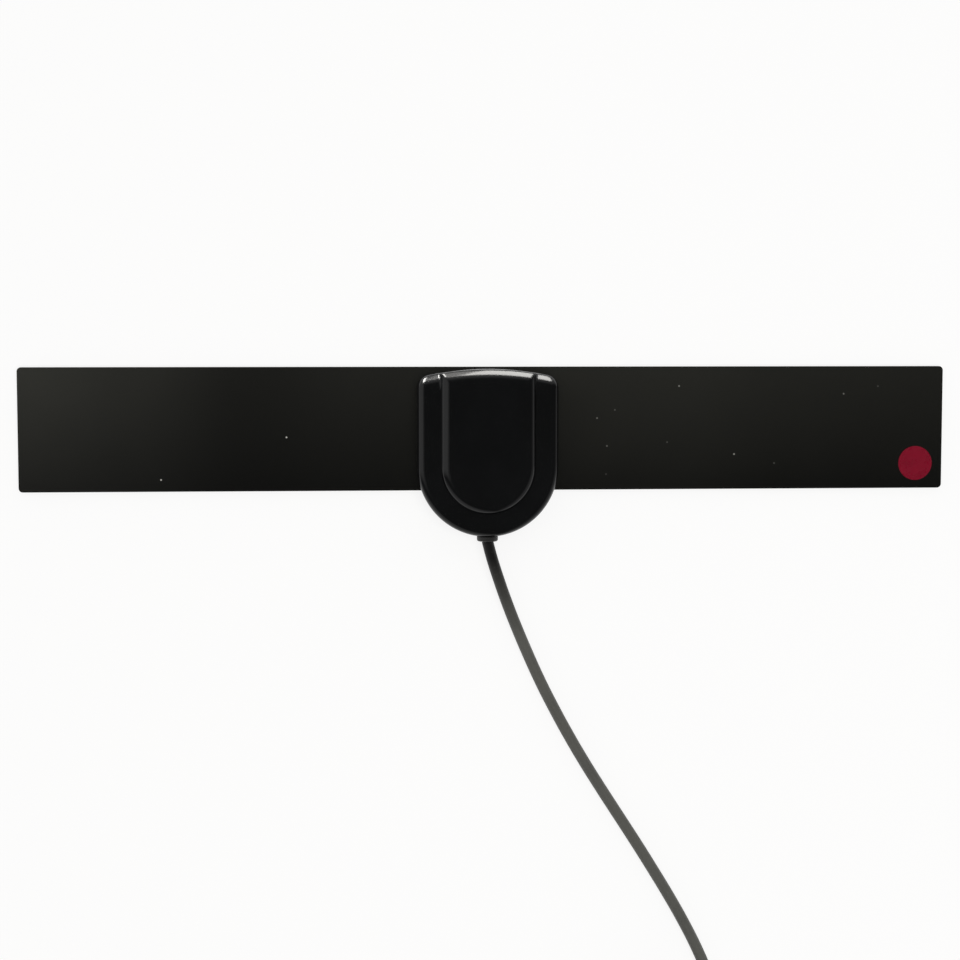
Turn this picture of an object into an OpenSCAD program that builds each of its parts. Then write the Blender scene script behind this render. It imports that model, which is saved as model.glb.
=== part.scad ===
/* [Strip] */
// Length of the flat strip
strip_l = 330; // [260:1:420]
// Width of the flat strip
strip_w = 44; // [40:1:52]
// Corner radius of the strip
strip_corner_r = 1.5; // [0.5:0.1:4]
// Thickness of the rear film
rear_sheet_t = 0.45; // [0.3:0.05:0.8]
// Thickness of the front film over the foil
front_sheet_t = 0.45; // [0.3:0.05:0.8]
// Thickness of the foil elements
foil_t = 0.1; // [0.05:0.01:0.15]
// Sealed border round the foil
foil_margin = 4; // [2:0.5:8]
// Gap between the inner ends of the two foil elements
feed_gap = 9; // [6:0.5:12]
// Width of the narrow feed end of each foil element
feed_w = 10; // [8:0.5:14]
// Distance from the strip's middle at which the foil starts to widen
flare_start = 24; // [23:0.5:30]
// Distance from the strip's middle at which the foil has its full width
flare_end = 44; // [36:1:70]

/* [Badge] */
// Diameter of the round badge
badge_d = 12.3; // [8:0.1:16]
// Thickness of the badge
badge_t = 0.15; // [0.1:0.05:0.4]
// Badge centre from the strip's right end
badge_from_end = 9.7; // [9:0.1:30]
// Badge centre from the strip's lower edge
badge_from_edge = 9; // [9:0.1:15]

/* [Housing] */
// Width of the housing
housing_w = 50; // [47:0.5:60]
// How far the round end reaches below the strip's lower edge
housing_below = 16.2; // [15.5:0.1:20]
// Strip left showing above the housing's top edge
housing_top_gap = 0.7; // [0.2:0.1:2]
// Radius of the bowed top edge
bow_r = 106; // [90:1:200]
// Radius of the two top corners, seen from the front
corner_r = 5; // [4:0.1:7]
// Height of the lower terrace above the back face
terrace_h = 11; // [10.8:0.1:14]
// Rise of the tongue panel above the terrace
tongue_rise = 2.2; // [1.5:0.1:3]
// Width of the tongue panel where it meets the terrace
tongue_w = 33.6; // [31:0.1:34]
// Width of the rounded edge of the tongue panel
tongue_edge_w = 3.1; // [2.4:0.1:3.6]
// Radius of the housing's rounded front edges
shoulder_r = 2.5; // [2:0.1:3]
// Radius of the wider rounding along the bowed top edge
top_shoulder_r = 6; // [5.6:0.1:6.4]
// Wall of the front shell
wall = 1.8; // [1.4:0.1:2]
// Thickness of the rear cover under the strip
floor_t = 1.8; // [1.6:0.1:2.4]
// Edge radius of the rear cover's back
back_edge_r = 0.8; // [0.4:0.1:1.2]
// Height of the locating lip above the parting plane
lip_h = 1.5; // [1:0.1:2]
// Thickness of the locating lip
lip_t = 1; // [0.8:0.1:1.1]
// Width of the ridge that the strip's lower edge lies against
ridge_w = 1.5; // [1:0.1:2]
// Clearance between parts that fit into each other
fit_clear = 0.15; // [0.1:0.05:0.2]

/* [Screws] */
// Sideways distance of the upper screws from the middle
upper_screw_x = 18; // [17.9:0.1:18.4]
// Distance of the upper screws from the housing's top edge
upper_screw_from_top = 8.3; // [8:0.1:9]
// Sideways distance of the lower screws from the middle
lower_screw_x = 12.5; // [12:0.1:13]
// Distance of the lower screws from the strip's lower edge
lower_screw_from_strip = 5.5; // [5.4:0.1:6]
// Radius of a screw's shank
screw_r = 1.1; // [0.9:0.05:1.2]
// Radius of a screw's head
screw_head_r = 1.9; // [1.7:0.05:2]
// Height of a screw's countersunk head
screw_head_h = 1; // [0.8:0.05:1.1]
// How far a screw's head lies below the back face
screw_sink = 0.15; // [0.05:0.05:0.2]
// Length of a screw
screw_l = 7.4; // [6:0.1:7.6]
// Radius of the screw bosses in the shell
boss_r = 2.8; // [2.4:0.1:2.8]

/* [Board] */
// Width of the circuit board
board_w = 28; // [27:0.5:32]
// Length of the circuit board
board_l = 24; // [23:0.5:24.5]
// Thickness of the circuit board
board_t = 1; // [0.8:0.1:1.2]
// Gap between the strip and the board
board_gap = 0.5; // [0.3:0.1:0.8]
// Height of the feed points above the strip's middle line
feed_y = 2; // [1:0.1:2.5]
// Distance of each contact rivet from the middle
rivet_x = 10; // [9.5:0.1:10.5]
// Radius of a rivet's shank
rivet_r = 1; // [0.8:0.05:1.2]
// Radius of a rivet's hollow
rivet_bore_r = 0.6; // [0.4:0.05:0.7]
// Radius of a rivet's head
rivet_head_r = 2.2; // [1.9:0.1:2.4]
// Thickness of a rivet's head and of its rolled end
rivet_head_t = 0.45; // [0.3:0.05:0.6]
// Outer radius of a contact spacer
spacer_r = 2.4; // [2:0.1:2.8]

/* [Balun] */
// Width of the ferrite core across its two holes
core_w = 7; // [6.6:0.1:8]
// Length of the ferrite core along its holes
core_l = 6; // [5:0.1:6]
// Height of the ferrite core
core_h = 4.2; // [3.8:0.1:4.8]
// Radius of each hole in the core
core_hole_r = 1; // [0.9:0.05:1.2]
// Distance of each hole from the core's middle
core_hole_x = 1.75; // [1.6:0.05:1.9]
// Radius of the enamelled wire
wire_r = 0.15; // [0.1:0.01:0.16]
// Height between neighbouring turns in a hole
turn_pitch = 0.35; // [0.34:0.01:0.4]

/* [Cable] */
// Diameter of the lead
cable_d = 4.1; // [3.9:0.1:4.5]
// Diameter over the braid
braid_d = 3; // [2.8:0.1:3.2]
// Diameter of the dielectric
dielectric_d = 2.4; // [2:0.1:2.6]
// Diameter of the centre conductor
core_d = 0.4; // [0.3:0.05:0.5]
// Length of the strain relief's outer flange along the lead
flange_l = 1.65; // [1.2:0.05:2.5]
// Radius of the strain relief's outer flange
flange_r = 3.75; // [3.6:0.05:4]
// Length of the strain relief's inner flange along the lead
inner_flange_l = 1.2; // [1:0.1:2]
// How far the inner flange stands proud of the neck
inner_flange_step = 0.4; // [0.2:0.05:0.4]
// Width of the cable clamp along the lead
clamp_l = 4; // [3:0.1:4.5]
// Sheet thickness of the cable clamp
clamp_t = 0.5; // [0.4:0.05:0.6]

/* [Coil] */
// Radius of the coil at the middle of its turns
coil_mean_r = 25; // [24:0.5:28]
// Turns side by side in the coil
coil_cols = 4; // [3:1:4]
// Turns on top of each other in the coil
coil_layers = 2; // [2:1:3]
// Thickness of the tie round the coil
tie_t = 0.5; // [0.4:0.1:0.8]
// Angle of the coil that the tie covers
tie_angle = 9; // [6:1:14]

/* [Plug] */
// Radius of the plug's grip
grip_r = 6.2; // [5.9:0.1:7]
// Length of the plug's grip
grip_l = 18; // [16:0.5:24]
// Length of the tapered boot behind the grip
boot_l = 9; // [7:0.5:14]
// Number of grooves round the boot
boot_grooves = 3; // [2:1:3]
// Radius of the plug's metal sleeve
sleeve_r = 4.75; // [4.7:0.01:4.8]
// Wall of the metal sleeve
sleeve_wall = 0.45; // [0.3:0.05:0.5]
// Length of the sleeve that stands out of the grip
sleeve_l = 10; // [8:0.5:12]
// Depth that the sleeve is set into the grip
sleeve_seat = 4; // [3:0.5:6]
// Radius of the plug's centre pin
pin_r = 1.17; // [1.1:0.01:1.2]

/* [Hidden] */
$fn = 72;

// Room past a face that a cut runs through
over = 1;
// Small clearance of a pin in its hole
pin_clear = 0.05;

// Heights above the back face
strip_z = floor_t;
foil_z = strip_z + rear_sheet_t;
strip_top = foil_z + foil_t + front_sheet_t;
parting_z = strip_top;
board_z = strip_top + board_gap;
board_top = board_z + board_t;
cable_z = board_top + braid_d / 2;
tongue_z = terrace_h + tongue_rise;
roof_z = terrace_h - wall;
tongue_roof_z = tongue_z - wall;

// Outline of the housing
half_w = housing_w / 2;
top_y = strip_w / 2 - housing_top_gap;
bottom_y = -strip_w / 2 - housing_below;
round_y = bottom_y + half_w;
bow_y = top_y - bow_r;
corner_x = half_w - corner_r;
bow_to_corner = sqrt((bow_r - corner_r) ^ 2 - corner_x ^ 2);
corner_y = bow_y + bow_to_corner;
inner_edge_r = shoulder_r - wall;
inner_top_y = corner_y + corner_r - wall;

// Tongue panel: the arc of its rounded edge runs from the flat top to the terrace
tongue_flat = tongue_w / 2 - tongue_edge_w;
tongue_edge_r = (tongue_edge_w ^ 2 + tongue_rise ^ 2) / (2 * tongue_rise);
tongue_base_z = terrace_h - shoulder_r - over;
// The tongue's top end lies a hair behind the terrace's wall
tongue_set_back = 0.05;
// The top edge's rounding is struck from this far outside the wall
top_overhang = 2;

// Rear cover
channel_y = strip_w / 2 + fit_clear;
hollow_y = -channel_y - ridge_w;
lip_chamfer = 0.3;

// Screw and rivet places
upper_screws = [for (s = [-1, 1]) [s * upper_screw_x, top_y - upper_screw_from_top]];
lower_screws = [for (s = [-1, 1]) [s * lower_screw_x, -strip_w / 2 - lower_screw_from_strip]];
screws = concat(upper_screws, lower_screws);
rivets = [for (s = [-1, 1]) [s * rivet_x, feed_y]];
head_play = 0.1;
cover_hole_r = screw_r + fit_clear;
sheet_hole_r = screw_r + 2 * fit_clear;
pilot_depth = 0.4;
recess_w = 0.5;
recess_l = 2.2;
recess_depth = 0.6;
spacer_window = 0.2;

// Ribs and board stops inside the shell
rib_t = 1.2;
rib_z = parting_z + lip_h + 0.5;
stop_r = 1.2;
stop_from_side = 3;
stop_from_end = 4.5;
stop_gap = 0.2;
weld = 0.5;

// Board: its upper edge lies 5 mm above the feed points
board_above_feed = 5;
board_y = feed_y + board_above_feed - board_l / 2;
board_low_y = board_y - board_l / 2;

// Balun windings: four wire levels in each hole
core_mid_z = board_top + core_h / 2;
pad_h = 0.4;
pad_r = 0.9;
pad_top_r = 0.35;
pad_z = board_top + pad_h;
joint_swell = 1.05;
levels = [for (k = [0:3]) core_mid_z + (k - 1.5) * turn_pitch];
core_low_y = feed_y - core_l / 2;
core_high_y = feed_y + core_l / 2;
lead_out = 1.4;
turn_out = 0.6;
antenna_pad_x = 6.2;
cable_pad_x = 5.2;
cable_lead_out = 1;

// Stripped end of the lead
flange_y = bottom_y - 0.15;
gland_y = flange_y - flange_l;
neck_r = cable_z - parting_z - 0.1;
slot_r = cable_z - parting_z;
inner_wall_y = bottom_y + wall + 0.4;
flange_round = 0.7;
jacket_end_y = board_low_y - 3;
braid_end_y = board_low_y + 6;
dielectric_end_y = braid_end_y + 2.5;
core_end_y = dielectric_end_y + 3;
layer_clear = 0.02;

// Cable clamp
clamp_y = board_low_y + 3.5;
clamp_foot_l = 1.6;

// Chip capacitors
chip_size = [2, 1.2, 0.9];
chip_cap_l = 0.45;
chip_cap_t = 0.05;
chip_x = 7.5;
chip_y = feed_y - 8;

// Lead on the surface: route of the free stretch, from the strain relief to the coil
cable_r = cable_d / 2;
sides = 10;
lie_z = cable_r + 0.05;
coil_x = 57;
coil_y = -236;
coil_w = coil_cols * cable_d;
coil_h = coil_layers * cable_d;
coil_outer_r = coil_mean_r + coil_w / 2;
coil_join_r = coil_outer_r - cable_r;
coil_low_z = tie_t + cable_r;
coil_high_z = tie_t + coil_h - cable_r;
route = [
    [0, gland_y, cable_z], [1.6, -46, 5.5], [4, -53.5, 4.6], [7, -62, 3.3], [10.5, -71, 2.4],
    [14.7, -81, lie_z], [19.2, -91, lie_z], [24.2, -101, lie_z], [29.6, -111, lie_z],
    [35.4, -121, lie_z], [41.6, -131, lie_z], [48, -141, lie_z], [54.4, -151, lie_z],
    [60.6, -161, lie_z], [66.6, -171, lie_z], [72.2, -181, lie_z], [77.2, -191, lie_z],
    [81.2, -200.5, lie_z], [84.4, -210, lie_z], [86.8, -219, 2.2], [87.9, -228, 2.4],
    [coil_x + coil_join_r, coil_y, coil_low_z]
];

// Route of the tail, from the coil to the plug
plug_x = -72;
plug_y = -254;
tail_route = [
    [coil_x, coil_y - coil_join_r, coil_high_z], [48, -267.1, coil_high_z], [38, -266.6, 6],
    [28, -265.4, 4.4], [18, -263.8, 2.8], [8, -262, lie_z], [-2, -260, lie_z],
    [-12, -258, lie_z], [-22, -256.3, lie_z], [-32, -255, 2.3], [-42, -254.3, 3.2],
    [-52, plug_y, 4.8], [-62, plug_y, 6], [plug_x, plug_y, grip_r]
];

// Tie and plug details
tie_at = -40;
tie_head = [4.4, 5.6, 3];
boot_tip_r = 3;
boot_root_r = 4.6;
groove_w = 1;
groove_depth = 0.7;
grip_round = 1.5;
grip_flutes = 10;
flute_r = 1.4;
flute_sink = 0.5;
seat_r = sleeve_r - sleeve_wall;
insulator_l = sleeve_seat + 3;
pin_l = sleeve_seat + sleeve_l - 1;
pin_tip_r = 0.6;

// Quarter of a disc, between the positive axes
module quarter_disc(r) {
    intersection() {
        circle(r);
        square(r);
    }
}

// Half section of a slab: straight up, with its outer top corner rounded
module edge_section(reach, h, r) {
    square([reach - r, h]);
    square([reach, h - r]);
    translate([reach - r, h - r])
        quarter_disc(r);
}

// Half section of the tongue panel: the arc of its edge runs on past its widest place
module tongue_section(flat, h, r) {
    square([flat, h]);
    translate([flat, 0])
        intersection() {
            translate([0, h - r])
                rotate(180)
                    circle(r);
            square([2 * r, h]);
        }
}

// Rectangle with rounded corners, centred
module rounded_rect(size, r) {
    square([size.x - 2 * r, size.y], center = true);
    square([size.x, size.y - 2 * r], center = true);
    for (a = [0, 1], b = [0, 1])
        mirror([a, 0])
            mirror([0, b])
                translate([size.x / 2 - r, size.y / 2 - r])
                    quarter_disc(r);
}

// Opening with straight sides and a round top
module arch(r, drop) {
    intersection() {
        circle(r);
        translate([-r, 0])
            square([2 * r, r]);
    }
    translate([-r, -drop])
        square([2 * r, drop]);
}

// Slab with a round lower end and straight sides, from its half section
module round_end_slab(end_y) {
    translate([0, round_y, 0])
        rotate([0, 0, 180])
            rotate_extrude(angle = 180)
                children();
    translate([0, end_y, 0])
        rotate([90, 0, 0])
            linear_extrude(end_y - round_y) {
                children();
                mirror([1, 0])
                    children();
            }
}

// Solid with the housing's outline, set in from it, with a rounded top edge.
// The corners meet the bowed top along the line from the bow's centre through theirs.
module housing_slab(inset, h, r) {
    bow_inner = bow_to_corner - over;
    round_end_slab(corner_y)
        edge_section(half_w - inset, h, r);
    for (side = [0, 1])
        mirror([side, 0, 0])
            translate([corner_x, corner_y, 0])
                intersection() {
                    rotate_extrude()
                        edge_section(corner_r - inset, h, r);
                    linear_extrude(h)
                        polygon([[0, 0], [2 * corner_r, 0], [2 * corner_r, 2 * corner_r],
                            [corner_x, bow_to_corner] / corner_r]);
                }
    translate([0, bow_y, 0])
        intersection() {
            rotate_extrude()
                translate([bow_inner, 0])
                    edge_section(bow_r - inset - bow_inner, h, r);
            linear_extrude(h)
                polygon([[0, 0], [2 * corner_x, 2 * bow_to_corner],
                    [-2 * corner_x, 2 * bow_to_corner]]);
        }
}

// Solid of the housing's hollow: as above, with a straight top end
module hollow_slab(inset, h, r) {
    top_corner_r = corner_r - inset;
    round_end_slab(corner_y)
        edge_section(half_w - inset, h, r);
    for (side = [0, 1])
        mirror([side, 0, 0])
            translate([corner_x, corner_y, 0])
                rotate_extrude(angle = 90)
                    edge_section(top_corner_r, h, r);
    translate([corner_x, corner_y, 0])
        rotate([90, 0, -90])
            linear_extrude(2 * corner_x)
                mirror([1, 0])
                    edge_section(top_corner_r, h, r);
}

// Large disc with a rounded rim that follows the bowed top edge, and cuts it rounder
module top_rounding(h) {
    translate([0, bow_y, 0])
        rotate_extrude()
            edge_section(bow_r + top_overhang, h, top_shoulder_r);
}

// Outside of the front shell
module shell_outside() {
    intersection() {
        translate([0, 0, parting_z])
            housing_slab(0, terrace_h - parting_z, shoulder_r);
        top_rounding(terrace_h);
    }
    intersection() {
        top_rounding(tongue_z);
        translate([0, 0, tongue_base_z])
            round_end_slab(top_y + over)
                tongue_section(tongue_flat, tongue_z - tongue_base_z, tongue_edge_r);
        translate([0, 0, parting_z])
            housing_slab(tongue_set_back, tongue_z - parting_z, shoulder_r);
    }
}

// Space inside the front shell
module shell_inside() {
    low = parting_z - over;
    translate([0, 0, low])
        hollow_slab(wall, roof_z - low, inner_edge_r);
    intersection() {
        translate([0, 0, tongue_base_z])
            round_end_slab(inner_top_y + over)
                edge_section(tongue_flat + tongue_edge_r - wall, tongue_roof_z - tongue_base_z,
                    tongue_edge_r - wall);
        translate([0, 0, low])
            hollow_slab(wall + tongue_set_back, tongue_roof_z - low, inner_edge_r);
    }
}

module screw_boss(at, low) {
    translate([at.x, at.y, low])
        cylinder(h = roof_z + weld - low, r = boss_r);
}

// Rib from a screw boss out to the wall, above the locating lip
module boss_rib(at, turn, reach) {
    translate([at.x, at.y, rib_z])
        rotate([0, 0, turn])
            translate([0, -rib_t / 2, 0])
                cube([reach, rib_t, roof_z + weld - rib_z]);
}

module front_shell() {
    color([0.03, 0.03, 0.035])
        difference() {
            union() {
                difference() {
                    shell_outside();
                    shell_inside();
                }
                for (at = upper_screws) {
                    screw_boss(at, parting_z);
                    boss_rib(at, at.x > 0 ? 0 : 180, half_w - wall + weld - abs(at.x));
                }
                for (at = lower_screws) {
                    screw_boss(at, floor_t);
                    boss_rib(at, atan2(at.y - round_y, at.x),
                        half_w - wall + weld - norm([at.x, at.y - round_y]));
                }
                for (s = [-1, 1])
                    translate([s * (board_w / 2 - stop_from_side), board_low_y + stop_from_end,
                        board_top + stop_gap])
                        cylinder(h = tongue_roof_z + weld - board_top - stop_gap, r = stop_r);
            }
            for (at = screws)
                translate([at.x, at.y, 0])
                    cylinder(h = screw_sink + screw_l + pilot_depth, r = screw_r + pin_clear);
            translate([0, bottom_y + 2 * wall, cable_z])
                rotate([90, 0, 0])
                    linear_extrude(3 * wall)
                        arch(slot_r, slot_r + over);
        }
}

// Locating lip round the cover's open end, with a chamfer at its top
module locating_lip() {
    outer = half_w - wall - fit_clear;
    h = parting_z + lip_h - floor_t + weld;
    intersection() {
        translate([0, round_y, floor_t - weld])
            rotate_extrude()
                polygon([[outer - lip_t, 0], [outer, 0], [outer, h - lip_chamfer],
                    [outer - lip_chamfer, h], [outer - lip_t, h]]);
        translate([-housing_w, hollow_y - housing_w, 0])
            cube([2 * housing_w, housing_w, housing_w]);
    }
}

module rear_cover() {
    color([0.04, 0.04, 0.045])
        difference() {
            union() {
                difference() {
                    translate([0, 0, parting_z])
                        mirror([0, 0, 1])
                            housing_slab(0, parting_z, back_edge_r);
                    translate([-housing_w, -channel_y, strip_z])
                        cube([2 * housing_w, 2 * strip_w, strip_w]);
                    intersection() {
                        translate([0, round_y, floor_t])
                            cylinder(h = housing_w, r = half_w - wall);
                        translate([-housing_w, hollow_y - housing_w, floor_t])
                            cube([2 * housing_w, housing_w, housing_w]);
                    }
                }
                locating_lip();
            }
            translate([-neck_r - inner_flange_step - 2 * fit_clear, bottom_y + wall, floor_t])
                cube([2 * (neck_r + inner_flange_step + 2 * fit_clear), 3 * lip_t, housing_w]);
            for (at = screws)
                translate([at.x, at.y, 0]) {
                    translate([0, 0, -over])
                        cylinder(h = floor_t + 2 * over, r = cover_hole_r);
                    translate([0, 0, -over])
                        cylinder(h = screw_sink + over, r = screw_head_r + head_play);
                    translate([0, 0, screw_sink])
                        cylinder(h = screw_head_h, r1 = screw_head_r + head_play,
                            r2 = screw_r + head_play);
                }
            for (at = rivets)
                translate([at.x, at.y, strip_z - rivet_head_t - head_play])
                    cylinder(h = rivet_head_t + head_play + over, r = rivet_head_r + fit_clear);
        }
}

module cover_screws() {
    color([0.6, 0.6, 0.62])
        for (at = screws)
            translate([at.x, at.y, screw_sink])
                difference() {
                    union() {
                        cylinder(h = screw_head_h, r1 = screw_head_r, r2 = screw_r);
                        cylinder(h = screw_l, r = screw_r);
                    }
                    for (turn = [0, 90])
                        rotate([0, 0, turn])
                            translate([-recess_l / 2, -recess_w / 2, -over])
                                cube([recess_l, recess_w, recess_depth + over]);
                }
}

// Outline of the right foil element, grown on all sides
module element_outline(grow) {
    inner = feed_gap / 2 - grow;
    outer = strip_l / 2 - foil_margin + grow;
    half = strip_w / 2 - foil_margin + grow;
    low = feed_y - feed_w / 2 - grow;
    high = feed_y + feed_w / 2 + grow;
    polygon([[inner, low], [flare_start, low], [flare_end, -half], [outer, -half],
        [outer, half], [flare_end, half], [flare_start, high], [inner, high]]);
}

module sheet_outline() {
    rounded_rect([strip_l, strip_w], strip_corner_r);
}

module front_sheet() {
    color([0.13, 0.13, 0.12])
        difference() {
            translate([0, 0, foil_z])
                linear_extrude(foil_t + front_sheet_t)
                    sheet_outline();
            for (side = [0, 1])
                mirror([side, 0, 0])
                    translate([0, 0, foil_z - over])
                        linear_extrude(over + foil_t)
                            element_outline(pin_clear);
            for (at = rivets)
                translate([at.x, at.y, foil_z - over])
                    cylinder(h = strip_top - foil_z + 2 * over, r = spacer_r + spacer_window);
            for (at = upper_screws)
                translate([at.x, at.y, foil_z - over])
                    cylinder(h = strip_top - foil_z + 2 * over, r = sheet_hole_r);
        }
}

module rear_sheet() {
    color([0.1, 0.1, 0.1])
        difference() {
            translate([0, 0, strip_z])
                linear_extrude(rear_sheet_t)
                    sheet_outline();
            for (at = rivets)
                translate([at.x, at.y, strip_z - over])
                    cylinder(h = rear_sheet_t + 2 * over, r = rivet_r + pin_clear);
            for (at = upper_screws)
                translate([at.x, at.y, strip_z - over])
                    cylinder(h = rear_sheet_t + 2 * over, r = sheet_hole_r);
        }
}

module element(side) {
    color([0.8, 0.8, 0.82])
        mirror([side, 0, 0])
            translate([0, 0, foil_z])
                difference() {
                    linear_extrude(foil_t)
                        element_outline(0);
                    translate([rivet_x, feed_y, -over])
                        cylinder(h = foil_t + 2 * over, r = rivet_r + pin_clear);
                }
}

module badge() {
    color([0.5, 0.1, 0.17])
        translate([strip_l / 2 - badge_from_end, badge_from_edge - strip_w / 2, strip_top])
            cylinder(h = badge_t, d = badge_d);
}

module contact_rivets() {
    color([0.8, 0.65, 0.35])
        for (at = rivets)
            translate([at.x, at.y, 0])
                difference() {
                    union() {
                        translate([0, 0, strip_z - rivet_head_t])
                            cylinder(h = rivet_head_t, r = rivet_head_r);
                        translate([0, 0, strip_z - rivet_head_t])
                            cylinder(h = board_top - strip_z + 2 * rivet_head_t, r = rivet_r);
                        translate([0, 0, board_top])
                            cylinder(h = rivet_head_t, r1 = rivet_head_r * 0.8, r2 = rivet_r);
                    }
                    cylinder(h = terrace_h, r = rivet_bore_r);
                }
}

module contact_spacers() {
    spacer_z = foil_z + foil_t;
    color([0.8, 0.65, 0.35])
        for (at = rivets)
            translate([at.x, at.y, spacer_z])
                difference() {
                    cylinder(h = board_z - spacer_z, r = spacer_r);
                    translate([0, 0, -over])
                        cylinder(h = board_z - spacer_z + 2 * over, r = rivet_r + pin_clear);
                }
}

module circuit_board() {
    color([0.12, 0.35, 0.2])
        difference() {
            translate([-board_w / 2, board_low_y, board_z])
                cube([board_w, board_l, board_t]);
            for (at = rivets)
                translate([at.x, at.y, board_z - over])
                    cylinder(h = board_t + 2 * over, r = rivet_r + pin_clear);
        }
}

module balun_core() {
    color([0.25, 0.25, 0.27])
        translate([0, feed_y + core_l / 2, core_mid_z])
            rotate([90, 0, 0])
                difference() {
                    linear_extrude(core_l)
                        rounded_rect([core_w, core_h], core_h / 4);
                    for (s = [-1, 1])
                        translate([s * core_hole_x, 0, -over])
                            cylinder(h = core_l + 2 * over, r = core_hole_r);
                }
}

// Wire along straight legs, with a ball at each turn
module wire(points, r) {
    for (i = [0:len(points) - 2]) {
        leg = points[i + 1] - points[i];
        translate(points[i])
            rotate([0, acos(leg.z / norm(leg)), atan2(leg.y, leg.x)])
                cylinder(h = norm(leg), r = r);
    }
    for (i = [1:len(points) - 2])
        translate(points[i])
            sphere(r = joint_swell * r);
}

// Two turns through both holes, from one pad to its mirror image
function winding_route(pad_x, pad_y, near_y, far_y, low, high) = [
    [pad_x, pad_y, pad_z], [pad_x, pad_y, low], [core_hole_x, pad_y, low],
    [core_hole_x, far_y, low], [-core_hole_x, far_y, low], [-core_hole_x, near_y, low],
    [core_hole_x, near_y, high], [core_hole_x, far_y, high], [-core_hole_x, far_y, high],
    [-core_hole_x, pad_y, high], [-pad_x, pad_y, high], [-pad_x, pad_y, pad_z]
];

module antenna_winding() {
    color([0.7, 0.35, 0.15])
        wire(winding_route(antenna_pad_x, core_low_y - lead_out, core_low_y - turn_out,
            core_high_y + turn_out, levels[0], levels[1]), wire_r);
}

module cable_winding() {
    color([0.6, 0.2, 0.1])
        wire(winding_route(cable_pad_x, core_high_y + cable_lead_out, core_high_y + turn_out,
            core_low_y - turn_out, levels[2], levels[3]), wire_r);
}

module chip_capacitors() {
    color([0.55, 0.42, 0.3])
        for (s = [-1, 1])
            translate([s * chip_x, chip_y, board_top]) {
                translate([-chip_size.x / 2, -chip_size.y / 2, chip_cap_t])
                    cube(chip_size);
                for (e = [-1, 1])
                    translate([e * (chip_size.x - chip_cap_l) / 2, 0,
                        chip_size.z / 2 + chip_cap_t])
                        cube([chip_cap_l + 2 * chip_cap_t, chip_size.y + 2 * chip_cap_t,
                            chip_size.z + 2 * chip_cap_t], center = true);
            }
}

module solder_joints() {
    pads = concat([for (s = [-1, 1]) [s * antenna_pad_x, core_low_y - lead_out]],
        [for (s = [-1, 1]) [s * cable_pad_x, core_high_y + cable_lead_out]],
        [[0, core_end_y]]);
    color([0.75, 0.76, 0.78])
        for (at = pads)
            translate([at.x, at.y, board_top])
                cylinder(h = pad_h, r1 = pad_r, r2 = pad_top_r);
}

module cable_clamp() {
    inner = braid_d / 2 + pin_clear;
    outer = inner + clamp_t;
    drop = braid_d / 2;
    color([0.78, 0.78, 0.8])
        translate([0, clamp_y + clamp_l / 2, cable_z])
            rotate([90, 0, 0]) {
                difference() {
                    linear_extrude(clamp_l)
                        arch(outer, drop);
                    translate([0, 0, -over])
                        linear_extrude(clamp_l + 2 * over)
                            arch(inner, drop + over);
                }
                for (side = [0, 1])
                    mirror([side, 0, 0])
                        translate([inner, -drop, 0])
                            cube([clamp_t + clamp_foot_l, clamp_t, clamp_l]);
            }
}

// Straight layer of the lead, from the strain relief's face inwards
module lead_layer(outer_r, inner_r, end_y) {
    translate([0, end_y, cable_z])
        rotate([90, 0, 0])
            difference() {
                cylinder(h = end_y - gland_y, r = outer_r);
                if (inner_r > 0)
                    translate([0, 0, -over])
                        cylinder(h = end_y - gland_y + 2 * over, r = inner_r);
            }
}

module cable_jacket() {
    color([0.16, 0.16, 0.16])
        lead_layer(cable_r - layer_clear, braid_d / 2 + layer_clear, jacket_end_y);
}

module cable_braid() {
    color([0.72, 0.7, 0.66])
        lead_layer(braid_d / 2, dielectric_d / 2 + layer_clear, braid_end_y);
}

module cable_dielectric() {
    color([0.93, 0.93, 0.9])
        lead_layer(dielectric_d / 2, core_d / 2 + layer_clear, dielectric_end_y);
}

module cable_core() {
    color([0.75, 0.45, 0.25])
        wire([[0, gland_y, cable_z], [0, core_end_y, cable_z], [0, core_end_y, pad_z]],
            core_d / 2);
}

module strain_relief() {
    color([0.12, 0.12, 0.12])
        translate([0, gland_y, cable_z])
            rotate([-90, 0, 0])
                difference() {
                    union() {
                        mirror([0, 0, 1])
                            translate([0, 0, -flange_l])
                                rotate_extrude()
                                    edge_section(flange_r, flange_l, flange_round);
                        cylinder(h = inner_wall_y - gland_y + over / 2, r = neck_r);
                        translate([0, 0, inner_wall_y - gland_y])
                            cylinder(h = inner_flange_l, r = neck_r + inner_flange_step);
                    }
                    translate([0, 0, -over])
                        cylinder(h = inner_wall_y + inner_flange_l - gland_y + 2 * over,
                            r = cable_r);
                }
}

// Direction of a route at one of its points
function heading(points, i) = i == 0 ? [0, -1, 0]
    : i == len(points) - 1 ? points[i] - points[i - 1]
    : points[i + 1] - points[i - 1];

// Ring of points round a route, square to it
function ring(centre, along) =
    let (flat = norm([along.x, along.y]),
        side = [along.y, -along.x, 0] / flat,
        up = cross(side, along) / norm(along))
    [for (k = [0:sides - 1])
        centre + cable_r * (cos(360 * k / sides) * side + sin(360 * k / sides) * up)];

// Tube swept along a route, one ring at each point
module tube(points, along) {
    n = len(points);
    rings = [for (i = [0:n - 1]) each ring(points[i], along[i])];
    sideways = [for (i = [0:n - 2], k = [0:sides - 1])
        let (a = i * sides + k, b = i * sides + (k + 1) % sides)
        each [[a, b, a + sides], [b, b + sides, a + sides]]];
    first = [for (k = [sides - 1:-1:0]) k];
    last = [for (k = [0:sides - 1]) (n - 1) * sides + k];
    polyhedron(rings, concat(sideways, [first, last]));
}

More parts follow.
